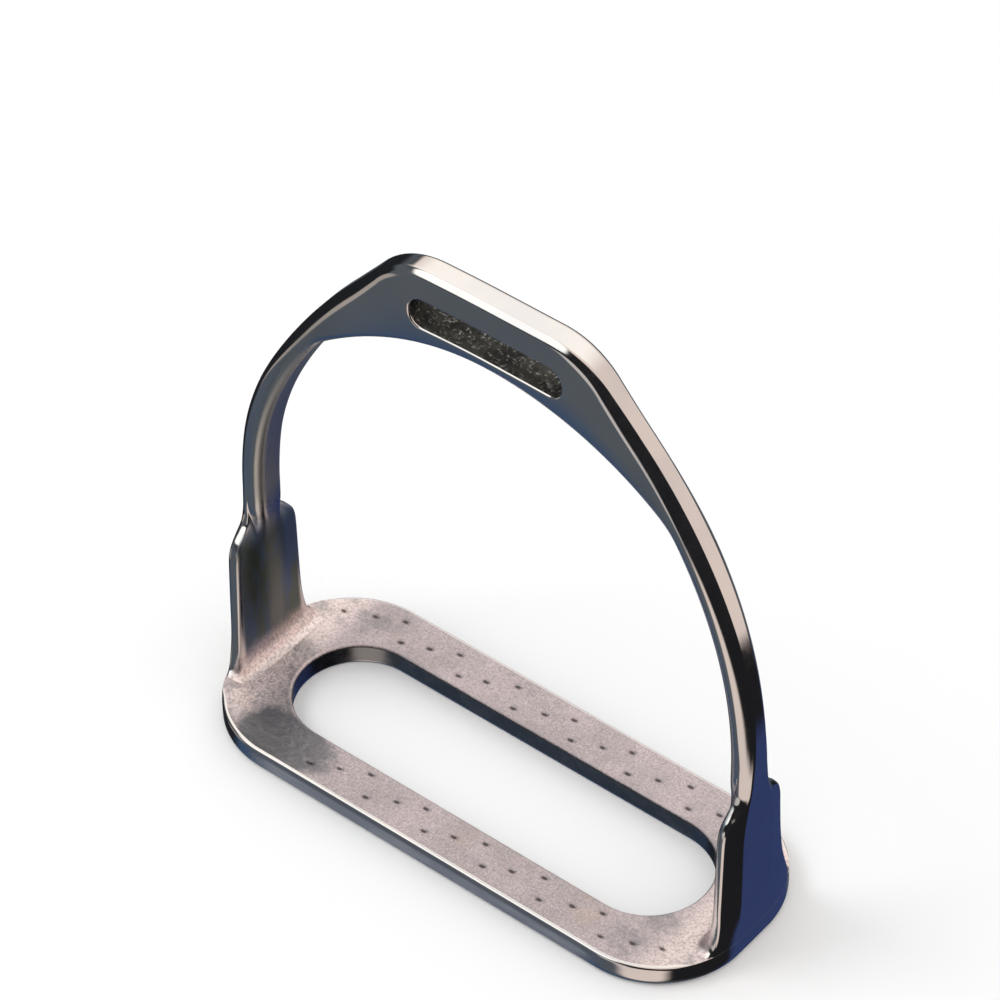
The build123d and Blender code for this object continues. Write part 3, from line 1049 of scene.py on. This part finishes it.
# ---- floor ------------------------------------------------------------------------------
FLOOR_HALF = 4.0
floor_mesh = bpy.data.meshes.new("Floor")
floor_corners = [(x * FLOOR_HALF, y * FLOOR_HALF, 0) for x, y in ((-1, -1), (1, -1), (1, 1), (-1, 1))]
floor_mesh.from_pydata(floor_corners, [], [(0, 1, 2, 3)])
floor = bpy.data.objects.new("Floor", floor_mesh)
bpy.context.scene.collection.objects.link(floor)
floor_material, nodes, place = material("Pale_floor")
pale = nodes.blend(nodes.noise(place, 3.0, 2.0, 0.5), (0.93, 0.93, 0.93, 1), (0.95, 0.95, 0.95, 1))
nodes.finish(nodes.add("BsdfPrincipled", Base_Color=pale, Roughness=0.9, Specular_IOR_Level=0.1).outputs[0])
floor_mesh.materials.append(floor_material)
floor.visible_glossy = False

# ---- studio: a soft white dome for the floor, and cards that the polished metal mirrors ---
world = bpy.data.worlds.new("Studio")
bpy.context.scene.world = world
world.use_nodes = True
nodes = Nodes(world.node_tree)
way = nodes.add("TexCoord").outputs["Generated"]

# direction, colour, and the cosines to that direction where the card fades out and is full;
# each is painted over the ones before it
CARDS = [
    ((-0.75, -0.10, -0.65), (0.098, 0.112, 0.130), 0.15, 0.50),     # grey room, low on the left
    ((-0.50, -0.10, -1.00), (0.046, 0.082, 0.160), 0.84, 0.98),     # blue backdrop below
    ((-0.93, 0.15, -0.30), (0.016, 0.017, 0.020), 0.79, 0.87),      # dark wall on the left
    ((0.20, 0.60, -0.775), (0.036, 0.053, 0.150), 0.913, 0.955),    # deep blue backdrop behind
    ((0.0, 0.30, 0.95), (0.34, 0.33, 0.32), 0.42, 0.68),            # dim ceiling
    ((0.35, 0.50, 0.79), (0.84, 0.71, 0.65), 0.24, 0.31),           # cream sheet, high on the right
    ((-0.25, 0.35, 0.90), (1.22, 1.16, 1.10), 0.62, 0.93),          # main lamp overhead
    ((-0.45, -0.62, 0.65), (1.35, 1.33, 1.30), 0.905, 0.945),       # lamp in front, on the bevels
    ((-0.10, -0.97, -0.15), (0.60, 0.56, 0.54), 0.94, 0.98),        # card in front, at floor height
    ((-0.80, -0.45, -0.38), (0.42, 0.37, 0.34), 0.965, 0.990),      # small card, low on the left
    ((0.28, -0.72, -0.64), (0.80, 0.68, 0.62), 0.90, 0.96),         # cream card, low in front
]
DARK_ROOM = (0.014, 0.014, 0.016, 1)


def card(before, direction, colour, low, high):
    """Paints colour over the directions whose cosine to direction is from low (edge) to high (full)."""
    dot = nodes.add("VectorMath", {"operation": "DOT_PRODUCT"}, i0=way, i1=Vector(direction).normalized())
    return nodes.blend(nodes.spread(dot.outputs["Value"], low, high), before, (*colour, 1))


seen = DARK_ROOM
for painted in CARDS:
    seen = card(seen, *painted)
glossy = nodes.add("LightPath").outputs["Is Glossy Ray"]
dome = nodes.add("Background", Color=(1.0, 1.0, 1.0, 1), Strength=0.95)
cards = nodes.add("Background", Color=seen, Strength=1.0)
both = nodes.add("MixShader", Fac=glossy, i1=dome.outputs[0], i2=cards.outputs[0])
nodes.finish(both.outputs[0], "World")


def soft_light(name, spot, power, width):
    """An area light aimed at the middle of the iron."""
    light = bpy.data.lights.new(name, "AREA")
    light.energy = power
    light.size = width
    lamp = bpy.data.objects.new(name, light)
    bpy.context.scene.collection.objects.link(lamp)
    lamp.location = spot
    lamp.rotation_mode = "QUATERNION"
    lamp.rotation_quaternion = (Vector((0, 0, 0.05)) - Vector(spot)).to_track_quat("-Z", "Y")
    lamp.visible_glossy = False


soft_light("Key_light", (-0.9, -0.7, 1.6), 8.0, 0.9)

# ---- camera, at the photograph's angle --------------------------------------------------
AZIMUTH, ELEVATION, ROLL = (math.radians(a) for a in (39.14, 44.382, -0.637))
TARGET = Vector((-0.056507, 0.070062, 0.0))
DISTANCE = 1.2146
LENS, SENSOR = 193.41, 36.0
back = Vector((math.sin(AZIMUTH) * math.cos(ELEVATION),
               -math.cos(AZIMUTH) * math.cos(ELEVATION),
               math.sin(ELEVATION)))
right = Vector((math.cos(AZIMUTH), math.sin(AZIMUTH), 0.0))
up = back.cross(right)
turned_right = right * math.cos(ROLL) + up * math.sin(ROLL)
turned_up = up * math.cos(ROLL) - right * math.sin(ROLL)
camera = bpy.data.objects.new("Camera", bpy.data.cameras.new("Camera"))
camera.data.sensor_width = SENSOR
camera.data.lens = LENS
camera.data.clip_end = 20.0
bpy.context.scene.collection.objects.link(camera)
facing = Matrix((turned_right, turned_up, back)).transposed().to_4x4()
camera.matrix_world = Matrix.Translation(TARGET + back * DISTANCE) @ facing
bpy.context.scene.camera = camera
bpy.context.scene.view_settings.view_transform = "Standard"
